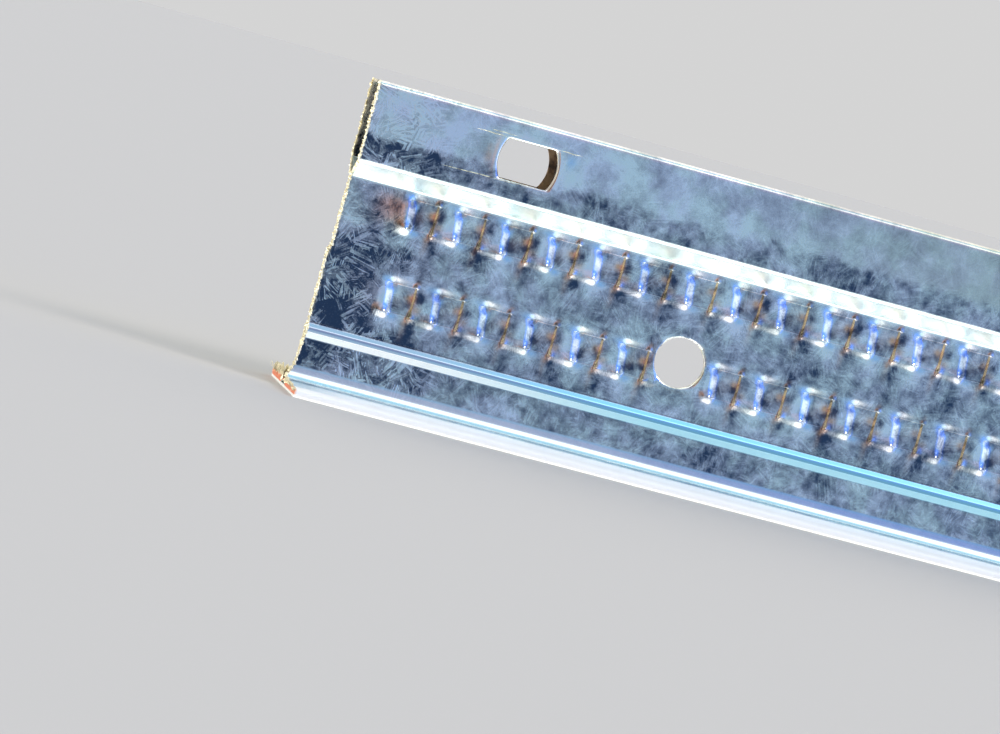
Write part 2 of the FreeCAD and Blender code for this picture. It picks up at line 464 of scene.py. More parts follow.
    # Brown and dark spots: tarnish, and painted warm reflection and shade
    stain_and_reflection_colour = mix(ramp(mottle, 0.25, 0.55), dark_stain_and_shade, brown_stain_and_warm_reflection)
    colour = mix(times(stain_and_reflection, 1.0, clamp=True), colour, stain_and_reflection_colour)
    on_flange = ramp(level, *flange_border)
    dulled = times(on_flange, ramp(from_cut, *dull_border))
    colour = mix(times(dulled, 0.95), colour, dull_white)
    metal = plus(plus(1.0, bare, -0.6), dulled, -0.95, clamp=True)
    roughness = 0.22
    for layer, gain in ((tone, -0.06), (grain, 0.06), (rolled, -0.06), (under_bulb, 0.2), (on_flange, 0.3)):
        roughness = plus(roughness, layer, gain)
    relief = times(pale, plus(frost, rolled, -1.0, clamp=True))
    bump = recipe.node("Bump", {"Height": relief, "Strength": 0.25, "Distance": 0.01 * mm})
    recipe.feed(recipe.shader, {
        "Base Color": colour,
        "Metallic": metal,
        "Roughness": roughness,
        "Normal": bump.outputs[0],
    })
    return recipe.owner


zinc_finish = galvanised_steel()
half_bulb = [
    (seam / 2, bulb_foot_bottom - web_overlap),
    (seam / 2, bulb_foot_bottom),
    (bulb_inside, bulb_wall_bottom),
    (bulb_inside, tee_top - strip),
]
bulb_corners = half_bulb + [(-y, z) for y, z in reversed(half_bulb)]
bulb_bends = [bulb_foot_bend, bulb_foot_bend, bulb_top_bend]
bulb_outer, bulb_inner = folded(bulb_corners, bulb_bends + bulb_bends[::-1], strip)
slope_row = 1 + bend_steps
wall_row = slope_row + 1 + bend_steps
slot_gap = np.array([bulb_slot_length, bulb_slot_height]) / 2 + bulb_slot_margin
wall_levels = bulb_slot_level + slot_gap[1] * np.linspace(-1, 1, 15)


def with_wall_rows(line):
    """The bulb's line with a row just past each foot bend, and rows up each wall for the slots."""
    past_bend = 0.92 * line[slope_row] + 0.08 * line[slope_row + 1]
    wall = np.stack([np.full(len(wall_levels), line[wall_row, 0]), wall_levels], -1)
    half = [line[:slope_row + 1], [past_bend], line[slope_row + 1:wall_row + 1], wall]
    half = np.concatenate(half + [line[wall_row + 1:len(line) // 2]])
    return np.concatenate([half, half[::-1] * (-1, 1)])


bulb_outer = with_wall_rows(bulb_outer)
bulb_inner = with_wall_rows(bulb_inner)
web_row = slope_row + 1
last_row = len(bulb_outer) - 1
slot_rows = wall_row + 2, wall_row + 1 + len(wall_levels)
slot_places = punch_places(bulb_slot_first)
# Scratches beside a slot: start and end along the bulb, and level
slot_scores = (
    (-10.0 * mm, 3.8 * mm, bulb_slot_level - 2.62 * mm),
    (-7.0 * mm, -2.6 * mm, bulb_slot_level + 2.55 * mm),
    (-5.2 * mm, -1.8 * mm, bulb_slot_level + 2.95 * mm),
    (2.2 * mm, 6.2 * mm, bulb_slot_level + 2.6 * mm),
)
beside_slot = (0.35, 0.7, 1.1, 1.7, 2.6)
bulb_columns = [web_start + d * mm for d in (0, 0.12, 0.3, 0.8, 2.5, 6)]
for x in slot_places:
    bulb_columns += [x - slot_gap[0] - d * mm for d in reversed(beside_slot)]
    bulb_columns += list(x + slot_gap[0] * np.linspace(-1, 1, 17))
    bulb_columns += [x + slot_gap[0] + d * mm for d in beside_slot]
bulb_columns = np.array(bulb_columns + [tee_end])


def run_along(columns, line, start):
    """A line of section points, run along the tee, with each point's own start at the snipped end."""
    points = np.empty((len(columns), len(line), 3))
    points[..., 0] = columns[:, None]
    points[..., 1:] = line
    near_cut = np.interp(columns, [columns[0], columns[0] + ragged_reach], [1, 0])
    points[..., 0] += near_cut[:, None] * (start - columns[0])
    return points


def bare_at_cut(columns):
    """Zinc is lost along a snipped edge."""
    return np.interp(columns, [columns[0], columns[0] + bare_width], [1, 0])[:, None]


def spot(past, over, reach_along, reach_up):
    """A soft spot, 1 in its middle and fading along the tee and up it."""
    return np.exp(-(past / reach_along) ** 2 - (over / reach_up) ** 2)


# Brown spots beside a slot are tarnish and painted warm reflection
# Spots beside a slot: mm along and up from its middle, reach along and up, strength (below 0 is a painted
# blue sheen)
slot_stain_and_reflection_spots = ((-4.8, -0.2, 0.55, 0.8, 0.55), (-5.0, 1.0, 0.4, 0.4, 0.35), (5.0, 1.6, 0.6, 0.7, -0.9))


def slot_marks(columns, line):
    """Brown on one side of each slot, tarnish and painted warm reflection, and a painted blue sheen on the
    other, where the punch bent the wall.
    """
    marks = np.zeros((len(columns), len(line)))
    for x in slot_places:
        for along, up, reach_along, reach_up, strength in slot_stain_and_reflection_spots:
            past = (columns[:, None] - x) / mm - along
            over = (line[:, 1] - bulb_slot_level) / mm - up
            marks += strength * spot(past, over, reach_along, reach_up)
    return marks


bulb = Sheet()
bulb_start = web_start + ragged(bulb_outer[:, 1], depth=0.09 * mm, spacing=0.35 * mm)
slot_stain_and_reflection = slot_marks(bulb_columns, bulb_outer)
outside = bulb.add(run_along(bulb_columns, bulb_outer, bulb_start), bare_at_cut(bulb_columns), slot_stain_and_reflection)
inside = bulb.add(run_along(bulb_columns, bulb_inner, bulb_start), bare_at_cut(bulb_columns))
slot_gaps = []
for x in slot_places:
    i0, i1 = np.searchsorted(bulb_columns, x + slot_gap[0] * np.array([-1, 1]) - tiny)
    slot_gaps.append((x, (i0, i1, slot_rows[0], slot_rows[1])))
    slot_gaps.append((x, (i0, i1, last_row - slot_rows[1], last_row - slot_rows[0])))
gaps = [gap for x, gap in slot_gaps]
outer_gaps = [(i0, i1, j0 - web_row, j1 - web_row) for i0, i1, j0, j1 in gaps]
bulb.cover(outside[:, web_row:last_row + 1 - web_row], gaps=outer_gaps, turned=True)
bulb.cover(inside, gaps=gaps)
bulb.join(outside[0], inside[0], turned=True)
bulb.join(outside[-1], inside[-1])
for x, gap in slot_gaps:
    i, j = round_gap(gap)
    side = np.sign(bulb_outer[gap[2], 0])
    places = np.stack([bulb_columns[i], bulb_outer[j, 1]], -1)
    edge = bulb_slot_edge(places, np.array([x, bulb_slot_level]))
    rims = []
    # Inside the bulb the rings are bare steel and brown: a painted warm reflection
    for numbers, face, inward, bare in ((outside, bulb_width / 2, -1, 0), (inside, bulb_inside, 0, 0.8)):

        def wall_face(at, depth):
            y = np.full(len(at), side * (face + inward * depth))
            return np.stack([at[:, 0], y, at[:, 1]], -1)

        turned = numbers is outside
        rims.append(bulb.punch(numbers[i, j], places, edge, wall_face, slot_rolled, turned, bare, 0.7 * bare))
    bulb.join(rims[0], rims[1], closed=True, turned=True)

for x in slot_places:
    for side in (-1, 1):
        for start, end, level in slot_scores:
            stations = np.linspace(x + start, x + end, score_stations)
            taper = np.sin(np.linspace(0, math.pi, score_stations)) ** 0.5
            lift = taper[:, None] * score_height * np.array([-0.2, 1, -0.2])
            ridge = np.empty((score_stations, 3, 3))
            ridge[..., 0] = stations[:, None]
            ridge[..., 1] = side * (bulb_width / 2 + lift)
            wander = np.interp(stations, stations[::4], dice.uniform(-1, 1, 6)) * 0.3 * score_width
            ridge[..., 2] = level + wander[:, None] + taper[:, None] * score_width * np.array([-0.5, 0, 0.5])
            bulb.cover(bulb.add(ridge, 0.7), turned=side > 0)

bulb_piece = bulb.piece("bulb", zinc_finish)
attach(bulb_piece, "root")
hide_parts("tee_body")

# Double web below the bulb: both legs of the strip, back to back. Two rows of lanced stitches lock them, as
# windows pushed to the back between bridges drawn to the front, and it is punched for wires and cross tees.
half_web = seam / 2 + strip
web_foot = 8.25 * mm
stroke_level = 17.5 * mm
stroke_step = 0.3 * mm
stitch_pitch = 5.85 * mm
stitch_first_wall = 11.2 * mm
stitch_rows = ((11.75 * mm, 15.2 * mm), (21.9 * mm, 25.3 * mm))
stitch_wall = 0.16 * mm
window_length = 3.0 * mm
window_slope = 1.3 * mm
window_depth = 0.34 * mm
stitch_lead = 1.6 * mm
slope_lean = 0.14 * mm
dish_depth = 0.04 * mm
dish_reach = 0.62 * mm
dish_height = 0.9 * mm
dish_lift = 0.35 * mm
lip_depth = 0.24 * mm
lip_wall = 0.6 * mm
lip_slope = 1.0 * mm
lip_shift = 0.25 * mm
lip_reach = 0.7 * mm
lead_shift = 0.6 * mm
lead_slope = 1.9 * mm
bridge_reach = 1.3 * mm
hood_reach = 0.85 * mm
lip_height = 1.0 * mm
lip_fade = 1.0 * mm
dot_height = 0.09 * mm
dot_reach = 0.27 * mm
dot_drop = 0.24 * mm
rise_start = 3.0 * mm
rise_length = 4.8 * mm
first_rise = 0.07 * mm, 0.28 * mm
slit = 0.03 * mm
# Painted highlight along the lips of the slits above and below the windows
slit_painted_highlight = 0.4
lip_least = 0.12
hood_least = 0.13
rise_spread = 1.2
bare_slope = 1.2
stroke_blend = 0.2 * mm
# Brown spots round a stitch are tarnish and painted warm reflection; blue ones a painted sheen
# Spots round a stitch: mm past its wall and over its middle, reach along and up, strength (below 0 is a
# painted blue sheen)
stain_and_reflection_spots = (
    (-0.5, 0.45, 0.45, 0.45, 0.8),
    (0.55, -0.75, 0.55, 0.35, 0.5),
    (-0.45, -2.5, 0.35, 0.5, 0.6),
    (0.05, -2.0, 0.3, 0.25, 0.4),
    (0.05, 2.45, 0.3, 0.3, 0.4),
    (-1.5, 0.2, 1.1, 1.2, 0.16),
    (1.5, -0.4, 1.1, 1.2, 0.16),
    (-3.4, 2.1, 0.4, 0.35, -0.9),
    (2.0, 2.1, 0.8, 0.4, -0.6),
    (-2.1, -2.15, 0.55, 0.4, -0.9),
    (-2.45, 1.0, 0.25, 0.5, -0.7),
    (-3.2, -1.0, 0.25, 0.5, -0.7),
    (-4.0, -0.3, 0.8, 1.2, -0.25),
)
# The same, for painted highlights and shade: how much brighter or darker the zinc is
highlight_and_shade_spots = (
    (0.75, 0.45, 0.65, 0.75, -0.6),
    (-0.35, -0.25, 0.4, 0.55, -0.4),
    (-2.2, -0.8, 0.6, 0.7, -0.45),
    (0.45, -2.7, 0.6, 0.6, -0.4),
    (0.05, 2.5, 0.35, 0.35, -0.4),
    (-4.1, 0.1, 1.2, 1.5, 0.5),
    (-1.2, 0.7, 0.8, 0.6, 0.3),
    (-1.6, 2.4, 1.3, 0.5, 0.5),
    (-2.7, -2.5, 1.2, 0.6, 0.7),
    (1.5, 2.3, 1.0, 0.5, 0.2),
)
# Tarnish and painted warm reflection before the first stitches: mm from the cut and over the painted face,
# reach along and up, strength
first_stain_and_reflection_spots = ((5.9, 24.3, 1.5, 1.2, 0.3), (7.3, 22.2, 0.5, 0.4, 0.6), (7.4, 24.6, 0.4, 0.4, 0.6))
hanger_radius = 3.05 * mm
hanger_level = 14.8 * mm
hanger_first = 44.4 * mm
cross_slot_size = (2.2 * mm, 13 * mm)
cross_slot_level = 15.5 * mm
cross_slot_first = 150 * mm
web_margin = 0.7 * mm
photographed = 105.8 * mm
stain_and_reflection_length = 80 * mm
stain_and_reflection_fade = 0.7
back_stain_and_reflection = 0.3
hole_rolled = 0.14 * mm
row_gap = 0.09 * mm
column_gap = 0.05 * mm
bulb_gap = 0.08 * mm
web_runs = 4


def smooth(share):
    """A soft step from 0 to 1."""
    share = np.clip(share, 0, 1)
    return share * share * (3 - 2 * share)


class Punch:
    """A hole through the web with half-round ends: a circle where it has no straight part."""

    def __init__(self, x, level, radius, straight):
        self.middle = np.array([x, level])
        self.radius = radius
        self.straight = straight
        reach = radius + web_margin
        self.columns = (x - reach, x + reach)
        self.rows = (level - straight - reach, level + straight + reach)

    def edge(self, places):
        """The points of the hole's edge that face the given points."""
        spine = np.zeros_like(places)
        spine[:, 1] = np.clip(places[:, 1] - self.middle[1], -self.straight, self.straight)
        way = places - self.middle - spine
        return self.middle + spine + self.radius * way / np.linalg.norm(way, axis=1, keepdims=True)


cross_radius = cross_slot_size[0] / 2
cross_straight = cross_slot_size[1] / 2 - cross_radius
web_punches = [Punch(x, hanger_level, hanger_radius, 0) for x in punch_places(hanger_first)]
for x in punch_places(cross_slot_first):
    web_punches.append(Punch(x, cross_slot_level, cross_radius, cross_straight))
stitch_walls = np.arange(web_start + stitch_first_wall, tee_end, stitch_pitch)
stitch_strength = 1 + 0.3 * dice.uniform(-1, 1, (2, len(stitch_walls)))


def nearest_wall(x):
    """How far these places are past the wall of their stitch, and the number of that stitch."""
    from_wall = np.mod(x - stitch_walls[0] - stitch_lead, stitch_pitch) + stitch_lead - stitch_pitch
    number = np.round((x - from_wall - stitch_walls[0]) / stitch_pitch).astype(int)
    return from_wall, np.clip(number, 0, len(stitch_walls) - 1)


def between_ends(x):
    """Where the rows of stitches run, from the first window to the last wall."""
    return (x > stitch_walls[0] - window_length - window_slope) & (x < stitch_walls[-1] + 2 * dish_reach)


def has_stitch(x, row):
    """Where this row is stitched: from end to end, apart from the stitches that a punch cuts away."""
    here = between_ends(x)
    bottom, top = stitch_rows[row]
    for hole in web_punches:
        if hole.rows[0] < top and hole.rows[1] > bottom:
            cut_into = stitch_walls > hole.columns[0]
            cut_into &= stitch_walls - window_length - window_slope / 2 < hole.columns[1]
            for wall in stitch_walls[cut_into]:
                here &= (x < wall - window_length - window_slope) | (x > wall + stitch_lead)
    return here


def stitch_marks(x, level, spots):
    """Soft spots round the wall of each stitch: tarnish, and painted reflections, highlights and shade."""
    from_wall, number = nearest_wall(x)
    marks = np.zeros(np.broadcast(x, level).shape)
    for row, (bottom, top) in enumerate(stitch_rows):
        shown = np.where(has_stitch(x, row), stitch_strength[row][number], 0)
        for along, up, reach_along, reach_up, strength in spots:
            past = np.mod(from_wall - along * mm + stitch_pitch / 2, stitch_pitch) - stitch_pitch / 2
            over = level - (bottom + top) / 2 - up * mm
            marks += shown * strength * spot(past / mm, over / mm, reach_along, reach_up)
    return marks


def slit_edges(x, level):
    """1 along the lips of the slits above and below each window, and 0 elsewhere."""
    from_wall = nearest_wall(x)[0]
    edges = np.zeros(np.broadcast(x, level).shape)
    for row, (bottom, top) in enumerate(stitch_rows):
        at_lip = np.minimum(np.abs(level - bottom + slit), np.abs(level - top - slit)) < slit / 2
        beside_window = (from_wall > -window_length) & (from_wall < 0) & has_stitch(x, row)
        edges += at_lip & beside_window
    return edges


def stitch_relief(x, level):
    """How far the web stands towards the front at these places."""
    x = np.asarray(x, float)
    relief = np.zeros(np.broadcast(x, level).shape)
    from_wall, number = nearest_wall(x)
    before_wall = smooth(0.5 - from_wall / stitch_wall)
    dish = from_wall / dish_reach * np.exp(1 - np.abs(from_wall) / dish_reach)
    to_slope = np.mod(-window_length - from_wall, stitch_pitch)
    past_slope = stitch_pitch - to_slope
    near_slope = np.maximum(np.exp(-to_slope / bridge_reach), np.exp(-past_slope / lip_reach))
    before_lip = smooth(0.5 - from_wall / lip_wall)
    over_window = smooth(0.5 + (from_wall + window_length - lip_shift) / lip_slope) * before_lip
    corner = np.maximum(np.exp(-np.abs(from_wall) / lip_reach), near_slope)
    near_corner = lip_least + (1 - lip_least) * corner
    near_top = hood_least + (1 - hood_least) * np.exp(-past_slope / hood_reach)
    lead = smooth(0.5 + (from_wall + window_length + lead_shift) / lead_slope) * before_lip
    lead = np.maximum(lead - over_window, 0)
    from_cut = x - web_start
    stitched = between_ends(x)
    for row, (bottom, top) in enumerate(stitch_rows):
        here = has_stitch(x, row)
        half = (top - bottom) / 2
        middle = (top + bottom) / 2
        away = np.abs(level - middle)
        from_slope = from_wall + window_length + slope_lean * np.clip((level - middle) / half, -1, 1)
        sunk = smooth(0.5 + from_slope / window_slope) * before_wall
        around = np.exp(-((level - middle - dish_lift) / dish_height) ** 2)
        stitch = dish_depth * stitch_strength[row][number] * around * dish
        fade_inside = smooth(1 - (half - away) / lip_fade)
        fade_outside = 1 - smooth((away - half) / lip_height)
        fade = np.where(away < half, fade_inside, fade_outside)
        lip_under = lip_depth * (1 - over_window) * near_corner * fade * (level < middle)
        lip_over = lip_depth * over_window * near_top * fade * (level > middle)
        lip_lead = lip_depth * lead * near_corner * fade * (level > middle)
        inside = stitch + lip_under - lip_lead - window_depth * sunk
        outside = stitch + lip_under - lip_lead - lip_over
        dot = spot(from_wall, away - half - dot_drop, dot_reach, dot_reach)
        outside = outside + dot_height * stitch_strength[row][number] * dot
        relief += np.where(here, np.where(away < half, inside, outside), 0)
        rise = np.clip((from_cut - rise_start) / rise_length, 0, 1) ** 1.5
        rise = np.where(stitched, rise * (1 - sunk), rise)
        rise = np.where(from_cut < stitch_first_wall - stitch_wall, rise, 0)
        relief += first_rise[row] * rise * np.exp(-((level - middle) / (rise_spread * half)) ** 4)
    return relief


def web_levels(fine):
    """Rows up the web: close where stitches slope, and in pairs at the slits above and below the windows."""
    outside_rows = np.array([0.12, 0.28, 0.45, 0.62, 0.8, 1.0, 1.25]) if fine else np.array([0.4, 0.85, 1.25])
    inside_rows = 11 if fine else 3
    levels = [web_foot]
    for bottom, top in stitch_rows:
        levels += list(bottom - outside_rows * mm) + [bottom - slit, bottom + slit]
        levels += list(np.linspace(bottom, top, inside_rows + 2)[1:-1])
        levels += [top - slit, top + slit] + list(top + outside_rows * mm)
    for hole in (web_punches[0], web_punches[-1]):
        levels = [z for z in levels if min(abs(z - r) for r in hole.rows) > row_gap]
        levels += list(hole.rows)
    levels = np.array(sorted(z for z in levels if z < bulb_outer[0, 1] - bulb_gap))
    flat = np.stack([np.full(len(levels), half_web), levels], -1)
    return np.concatenate([flat, bulb_outer[:web_row + 1]]), len(levels) + 1


def web_columns(start, end, fine):
    """Columns along the web: each stitch's own, and those at the borders of the punches."""
    close = (-0.13, -0.09, -0.05, 0, 0.05, 0.09, 0.13, 0.24, 0.38, 0.55, 0.75, 1.0, 1.35, 1.75)
    close += (2.1, 2.3, 2.46, 2.6, 2.75, 2.9, 3.05, 3.2, 3.34, 3.5, 3.75, 4.1, 4.5)
    close += (4.85, 5.1, 5.3, 5.48, 5.62)
    wide = (-0.1, 0.1, 0.9, 1.8, 2.7, 3.4, 4.2)
    marks = np.array(close if fine else wide) * mm
    walls = np.concatenate([[stitch_walls[0] - stitch_pitch], stitch_walls])
    columns = (walls[:, None] + marks).ravel()
    kept = [start, end]
    for hole in web_punches:
        kept += [x for x in hole.columns if start < x < end]
    if fine:
        kept += [start + d * mm for d in (0.1, 0.22, 0.4, 0.7, 1.1, 1.7, 2.5, 3.3, 3.9, 4.5)]
    kept = np.array(kept)
    columns = columns[(columns > start) & (columns < end)]
    clear = np.abs(columns[:, None] - kept).min(1) > column_gap
    return np.sort(np.concatenate([columns[clear], kept]))


def web_length(name, start, end, fine):
    """One length of the web with its stitches and punches."""
    rows, flat_rows = web_levels(fine)
    columns = web_columns(start, end, fine)
    x = np.repeat(columns[:, None], len(rows), 1)
    level = np.repeat(rows[None, :, 1], len(columns), 0)
    relief = stitch_relief(x, level)
    relief *= 1 - smooth((level - rows[flat_rows - 1, 1]) / (rows[-1, 1] - rows[flat_rows - 1, 1]))
    if start == web_start:
        near_cut = np.interp(columns, [start, start + ragged_reach], [1, 0])[:, None]
        second_stroke = smooth((stroke_level - level) / stroke_blend + 0.5)
        wander = ragged(level[0], depth=0.08 * mm, spacing=0.4 * mm)
        x = x + near_cut * (wander - stroke_step * second_stroke)
        bare = bare_at_cut(columns) * np.ones_like(level)
    else:
        bare = np.zeros_like(level)
    steep = np.gradient(relief, columns, axis=0)
    # Steep stitch walls count as bare steel, whose gold is a painted warm reflection
    bare = np.maximum(bare, np.clip(steep - bare_slope, 0, 1))
    # Tarnish and painted reflection round the stitches, fainter on the back
    stain_and_reflection = stitch_marks(x, level, stain_and_reflection_spots)
    # Painted highlights and shade round the stitches and along the slits
    painted_highlight_and_shade = stitch_marks(x, level, highlight_and_shade_spots)
    painted_highlight_and_shade += slit_painted_highlight * slit_edges(x, level)
    for along, up, reach_along, reach_up, strength in first_stain_and_reflection_spots:
        past = (x - web_start) / mm - along
        stain_and_reflection += strength * spot(past, level / mm - up, reach_along, reach_up)
    stain_and_reflection *= 1 - stain_and_reflection_fade * smooth((x - web_start - stain_and_reflection_length) / (photographed - stain_and_reflection_length))
    sheet = Sheet()
    near = sheet.add(np.stack([x, -rows[:, 0] - relief, level], -1), bare, stain_and_reflection, painted_highlight_and_shade)
    far = sheet.add(np.stack([x, rows[:, 0] - relief, level], -1), bare, back_stain_and_reflection * stain_and_reflection, painted_highlight_and_shade)
    gaps = []
    for hole in web_punches:
        if start < hole.middle[0] < end:
            i0, i1 = np.searchsorted(columns, np.array(hole.columns) - tiny)
            j0, j1 = np.searchsorted(rows[:flat_rows, 1], np.array(hole.rows) - tiny)
            gaps.append((hole, (i0, i1, j0, j1)))
    sheet.cover(near, gaps=[gap for hole, gap in gaps])
    sheet.cover(far, gaps=[gap for hole, gap in gaps], turned=True)
    for hole, gap in gaps:
        i, j = round_gap(gap)
        places = np.stack([columns[i], rows[j, 1]], -1)
        edge = hole.edge(places)
        rims = []
        for numbers, side in ((near, -1), (far, 1)):

            def web_face(at, depth):
                y = side * (half_web - depth) - stitch_relief(at[:, 0], at[:, 1])
                return np.stack([at[:, 0], y, at[:, 1]], -1)

            rims.append(sheet.punch(numbers[i, j], places, edge, web_face, hole_rolled, side > 0))
        sheet.join(rims[0], rims[1], closed=True)
    if start == web_start:
        sheet.join(near[0, :flat_rows], far[0, :flat_rows])
    if end == tee_end:
        sheet.join(near[-1, :flat_rows], far[-1, :flat_rows], turned=True)
    piece = sheet.piece(name, zinc_finish)
    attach(piece, "root")
    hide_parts("tee_body")


web_length("web_at_cut", web_start, web_start + photographed, True)
run_ends = np.linspace(web_start + photographed, tee_end, web_runs + 1)
for number in range(web_runs):
    web_length("web_run_%d" % (number + 1), run_ends[number], run_ends[number + 1], False)

# Foot of the tee: each leg of the strip bulges out into a stiffening bead, then turns out through a round
# bend into one half of the flange. The snips left the flange a little longer than the web.
cap = 0.28 * mm
bead_bottom = 6.45 * mm
bead_lower_flank = 0.65 * mm
bead_crest = 0.35 * mm
bead_upper_flank = 0.55 * mm
bead_depth = 0.42 * mm
bead_bend = 0.2 * mm
foot_bend = 2.2 * mm
setback_top = 3.3 * mm
setback_bottom = 1.5 * mm
flange_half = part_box("face_cap")[1].y
hem_bend = 0.4 * strip
bead_face = seam / 2 + bead_depth
crest_bottom = bead_bottom + bead_lower_flank
crest_top = crest_bottom + bead_crest
foot_corners = [
    (flange_half - cap - hem_bend, cap),
    (seam / 2, cap),
    (seam / 2, bead_bottom),
    (bead_face, crest_bottom),
    (bead_face, crest_top),
    (seam / 2, crest_top + bead_upper_flank),
    (seam / 2, web_foot),
]
foot_outer, foot_inner = folded(foot_corners, [foot_bend] + 4 * [bead_bend], strip)
foot_columns = [tee_start + d * mm for d in (0, 0.12, 0.3, 0.8, 1.6, 2.5, 6)]
foot_columns = np.array(foot_columns + list(np.linspace(tee_start + 20 * mm, tee_end, 30)))


def snipped_start(level):
    """Where the second stroke of the snips left the foot: its web is set back, its flange isn't."""
    return np.interp(level, [setback_bottom, setback_top], [tee_start, web_start - stroke_step])


foot = Sheet()
for side in (1, -1):
    foot_level = foot_outer[:, 1]
    start = snipped_start(foot_level) + ragged(foot_level, depth=0.07 * mm, spacing=0.3 * mm)
    top = foot.add(run_along(foot_columns, foot_outer * (side, 1), start), bare_at_cut(foot_columns))
    under = foot.add(run_along(foot_columns, foot_inner * (side, 1), start), bare_at_cut(foot_columns))
    foot.strip(top, under, turned=side > 0)
    foot.join(top[:, 0], under[:, 0], turned=side < 0)
foot_piece = foot.piece("foot", zinc_finish)
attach(foot_piece, "root")
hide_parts("tee_body")

# Painted cap, the face that shows in the room: a narrow strip of prepainted white steel laid under the
# flange, turned up round both edges and pressed down on top of them as a hem.
hem_width = 4.2 * mm
flange_top = cap + strip
cap_edge = flange_half - cap
hem_end = flange_half - hem_width


def white_enamel():
    """Baked satin enamel with a faint orange peel; along cut edges it is metal, painted orange as a warm
    reflection.
    """
    enamel_white = (0.93, 0.915, 0.88, 1)
    enamel_shade = (0.87, 0.865, 0.85, 1)
    cut_edge_painted_reflection = (0.85, 0.3, 0.12, 1)
    recipe = Recipe(bpy.data.materials.new("white_enamel"))
    place = recipe.millimetres()
    peel = recipe.noise(place, 1.4, 3.0).outputs[0]
    dust = recipe.noise(place, 0.09, 5.0, 0.6).outputs[0]
    drawn_out = recipe.vector("MULTIPLY", place, (0.12, 1.6, 1.6))
    scuffs = recipe.noise(drawn_out, 1.0, 5.0, 0.65).outputs[0]
    shade = recipe.times(recipe.ramp(dust, 0.42, 0.7), recipe.ramp(scuffs, 0.45, 0.75))
    colour = recipe.mix(shade, enamel_white, enamel_shade)
    bare = recipe.mark("bare_steel")
    colour = recipe.mix(bare, colour, cut_edge_painted_reflection)
    roughness = recipe.plus(0.48, scuffs, 0.16)
    bump = recipe.node("Bump", {"Height": peel, "Strength": 0.25, "Distance": 0.04 * mm})
    recipe.feed(recipe.shader, {
        "Base Color": colour,
        "Metallic": bare,
        "Roughness": roughness,
        "Specular IOR Level": 0.25,
        "Normal": bump.outputs[0],
    })
    return recipe.owner


cap_corners = [
    (-hem_end, flange_top),
    (-cap_edge, flange_top),
    (-cap_edge, cap),
    (cap_edge, cap),
    (cap_edge, flange_top),
    (hem_end, flange_top),
]
cap_outer, cap_inner = folded(cap_corners, 4 * [hem_bend], cap)
across_cap = np.linspace(0, 30 * mm, len(cap_outer))
cap_start = tee_start + ragged(across_cap, depth=0.05 * mm, spacing=2 * mm)
cap_sheet = Sheet()
# The hem's snipped ends show metal, painted orange as a warm reflection
turned_up = np.where(cap_inner[:, 1] > cap + 0.1 * mm, 0.9, 0.0)
shown = cap_sheet.add(run_along(foot_columns, cap_outer, cap_start), turned_up * bare_at_cut(foot_columns))
hidden = cap_sheet.add(run_along(foot_columns, cap_inner, cap_start), turned_up * bare_at_cut(foot_columns))
cap_sheet.strip(shown, hidden, turned=True)
cap_sheet.join(shown[:, 0], hidden[:, 0])
cap_sheet.join(shown[:, -1], hidden[:, -1], turned=True)
cap_piece = cap_sheet.piece("painted_cap", white_enamel())
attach(cap_piece, "root")
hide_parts("face_cap")

# Burr along the snipped end: bright steel that the blades drew out of the strip, as a lumpy thread on the
# cut edges of the web, bulb and foot, a torn curtain on the flange, and whiskers at its corners.
burr_spacing = 0.14 * mm
burr_radius = 0.19 * mm
# Height of the curtain on the front and back half of the flange: at the web, 1 mm from it and at the edge
torn_height = {-1: (0.9 * mm, 0.9 * mm, 0.35 * mm), 1: (2.2 * mm, 2.1 * mm, 1.2 * mm)}
whiskers = 4
whisker_radius = 0.035 * mm
cut_line_step = 0.5 * mm
torn_edge = 0.02 * mm
curtain_rows = 7
curtain_step = 0.15 * mm
curtain_inset = 0.3 * mm
curtain_lean = 0.15 * mm
curtain_fold = 0.35
crumple_depth = 0.09
# Share of painted orange reflection in each row of the flange's curtain
orange_reflection_by_row = np.array([1.0, 0.8, 0, 0, 0, 0, 0])
burnt_by_row = np.array([0, 1, 1, 0.9, 0.6, 0.3, 0.2])


def sheared_steel():
    """Freshly cut steel, rough, with a warm tarnish in patches; its bright gold and its orange are painted
    warm reflections.
    """
    steel_warm_reflection = (1.0, 0.9, 0.62, 1)
    steel_tarnished = (0.62, 0.34, 0.14, 1)
    steel_burnt = (0.05, 0.04, 0.015, 1)
    orange_painted_reflection = (0.88, 0.2, 0.06, 1)
    recipe = Recipe(bpy.data.materials.new("sheared_steel"))
    torn = recipe.noise(recipe.millimetres(), 3.2, 5.0, 0.65).outputs[0]
    tarnish = recipe.mix(recipe.ramp(torn, 0.52, 0.75), steel_warm_reflection, steel_tarnished)
    tarnish = recipe.mix(recipe.mark("stain_and_reflection"), tarnish, steel_burnt)
    orange_reflection_share = recipe.mark("bare_steel")
    bump = recipe.node("Bump", {"Height": torn, "Strength": 0.8, "Distance": 0.08 * mm})
    recipe.feed(recipe.shader, {
        "Base Color": recipe.mix(orange_reflection_share, tarnish, orange_painted_reflection),
        "Metallic": 0.55,
        "Roughness": 0.42,
        "Normal": bump.outputs[0],
    })
    return recipe.owner


